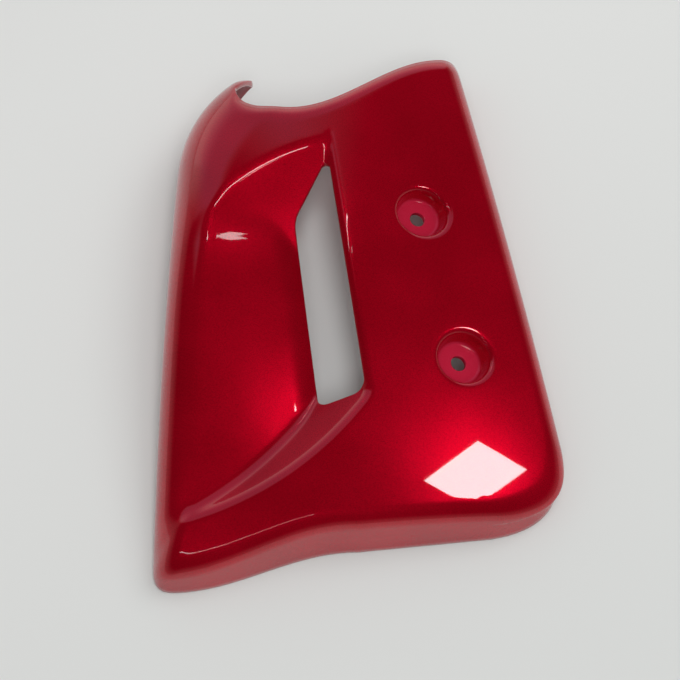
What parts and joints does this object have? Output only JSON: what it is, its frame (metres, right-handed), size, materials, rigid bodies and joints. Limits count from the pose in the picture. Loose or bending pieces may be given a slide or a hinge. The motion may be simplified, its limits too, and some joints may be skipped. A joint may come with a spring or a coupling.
{
  "type": "radiator scoop",
  "caption": "Moulded side scoop that covers a radiator and turns air through a slanted slot, with screw cups, rolled edges and a pointed horn.",
  "frame": {"origin": "middle of the part's box, on the plane its rim lies on", "axes": "+Y to the far end with the horn, +X to the side with the screw cups, +Z out of the painted face"},
  "size_m": [0.182, 0.2618, 0.0475],
  "materials": {
    "red_paint": "deep metallic red paint under glossy clear coat on moulded plastic"
  },
  "bodies": {
    "root": {"scoop_shell": "red_paint"}
  },
  "joints": []
}
